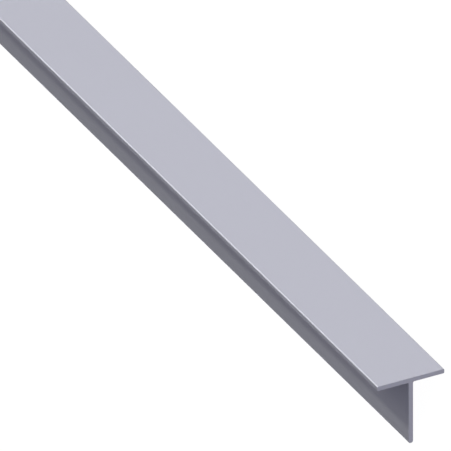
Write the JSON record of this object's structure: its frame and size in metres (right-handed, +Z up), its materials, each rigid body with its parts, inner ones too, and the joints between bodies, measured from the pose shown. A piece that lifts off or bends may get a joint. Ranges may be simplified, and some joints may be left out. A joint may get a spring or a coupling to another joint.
{
  "type": "aluminium tee section",
  "caption": "Straight length of extruded aluminium tee section: a flat flange with a web of the same depth on the middle of its inner face, square-cut ends, satin finish.",
  "frame": {"origin": "on the floor, below the middle of the bar's outer box", "axes": "+Y along the bar from the near sawn end to the far one, +Z up, +X to the side where the flange's outer face looks; the bar lies on its side, on the flange's lower edge and the web's toe"},
  "size_m": [0.0336, 1, 0.0273],
  "materials": {
    "satin_aluminium": "smooth satin, natural silver grey with a cool cast, faint lines along the bar"
  },
  "bodies": {
    "root": {"tee_bar": "satin_aluminium"}
  },
  "joints": []
}
